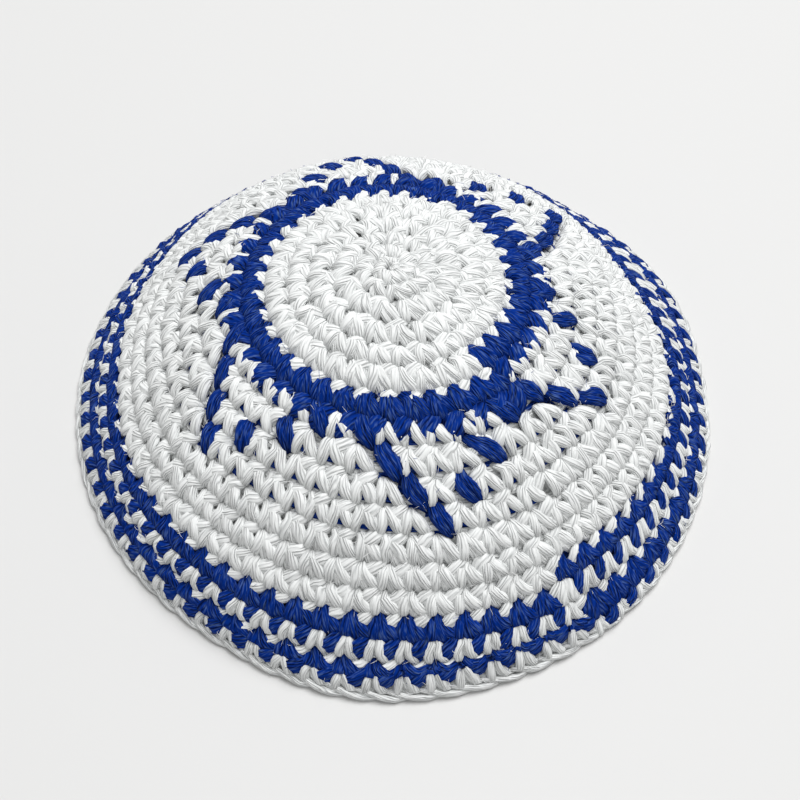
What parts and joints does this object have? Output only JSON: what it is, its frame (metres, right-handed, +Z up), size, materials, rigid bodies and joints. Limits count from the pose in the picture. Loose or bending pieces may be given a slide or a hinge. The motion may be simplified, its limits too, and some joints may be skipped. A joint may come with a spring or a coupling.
{
  "type": "crocheted kippah skullcap",
  "caption": "Low dome skullcap crocheted in one spiral from crown to rim, white with a blue ring, star rays and stripes, open below for the head.",
  "frame": {"origin": "middle of the cap's overall box, on the surface that the rim rests on", "axes": "+Z up through the crown, -Y towards the front of the pictured view, +X to its right"},
  "size_m": [0.1678, 0.1722, 0.0518],
  "materials": {
    "white_yarn": "matt plied cotton yarn, crocheted, natural bright white",
    "blue_yarn": "matt plied cotton yarn, crocheted, royal blue"
  },
  "bodies": {
    "root": {"crown_rounds": "white_yarn", "ring_round": "blue_yarn", "star_rounds": "white_yarn", "side_rounds": "white_yarn", "upper_stripe": "blue_yarn", "white_stripe": "white_yarn", "lower_stripe": "blue_yarn", "rim_round": "white_yarn", "edge_chain": "white_yarn"}
  },
  "joints": []
}
